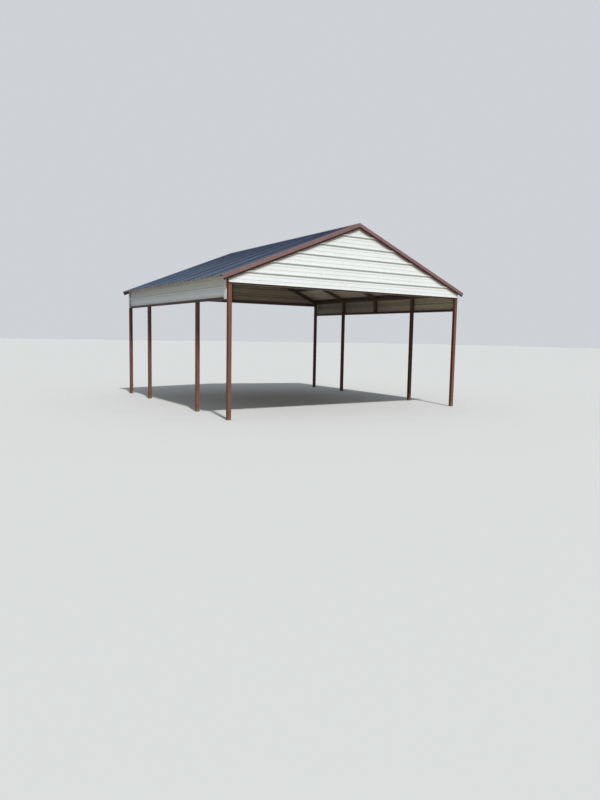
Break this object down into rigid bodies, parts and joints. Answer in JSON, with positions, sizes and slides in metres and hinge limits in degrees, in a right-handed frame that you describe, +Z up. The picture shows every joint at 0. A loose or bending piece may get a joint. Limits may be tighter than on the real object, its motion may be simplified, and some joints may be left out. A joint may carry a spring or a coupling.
{
  "type": "open steel carport",
  "caption": "Open steel carport: brown square-tube frame, dark ribbed gable roof, white ribbed gable ends and short side skirts, to shelter cars side by side.",
  "frame": {"origin": "on the ground, at the middle of the plan", "axes": "+X across to the right seen from the front, +Y from the front to the back, +Z up; the ridge runs along Y and the front gable faces -Y"},
  "size_m": [6.421, 6.1732, 4.0496],
  "materials": {
    "brown_paint": "satin",
    "white_paint": "satin",
    "charcoal_paint": "satin",
    "black_paint": "satin",
    "galvanised_steel": "matt"
  },
  "bodies": {
    "root": {"back_gable_sheet": "white_paint", "back_king_post": "brown_paint", "back_left_rake_trim": "brown_paint", "back_right_rake_trim": "brown_paint", "back_tie_beam": "brown_paint", "front_gable_sheet": "white_paint", "front_king_post": "brown_paint", "front_left_rake_trim": "brown_paint", "front_right_rake_trim": "brown_paint", "front_tie_beam": "brown_paint", "left_corner_trims": "white_paint", "left_eave_rail": "brown_paint", "left_edge_trim": "brown_paint", "left_leg_1": "brown_paint", "left_leg_2": "brown_paint", "left_leg_4": "brown_paint", "left_leg_5": "brown_paint", "left_purlins": "galvanised_steel", "left_rafter_1": "brown_paint", "left_rafter_2": "brown_paint", "left_rafter_3": "brown_paint", "left_rafter_4": "brown_paint", "left_rafter_5": "brown_paint", "left_roof_sheet": "charcoal_paint", "left_side_skirt": "white_paint", "left_skirt_rail": "brown_paint", "peak_braces": "brown_paint", "ridge_cap": "black_paint", "right_corner_trims": "white_paint", "right_eave_rail": "brown_paint", "right_edge_trim": "brown_paint", "right_leg_1": "brown_paint", "right_leg_2": "brown_paint", "right_leg_4": "brown_paint", "right_leg_5": "brown_paint", "right_purlins": "galvanised_steel", "right_rafter_1": "brown_paint", "right_rafter_2": "brown_paint", "right_rafter_3": "brown_paint", "right_rafter_4": "brown_paint", "right_rafter_5": "brown_paint", "right_roof_sheet": "charcoal_paint", "right_side_skirt": "white_paint", "right_skirt_rail": "brown_paint", "short_legs": "brown_paint"}
  },
  "joints": []
}
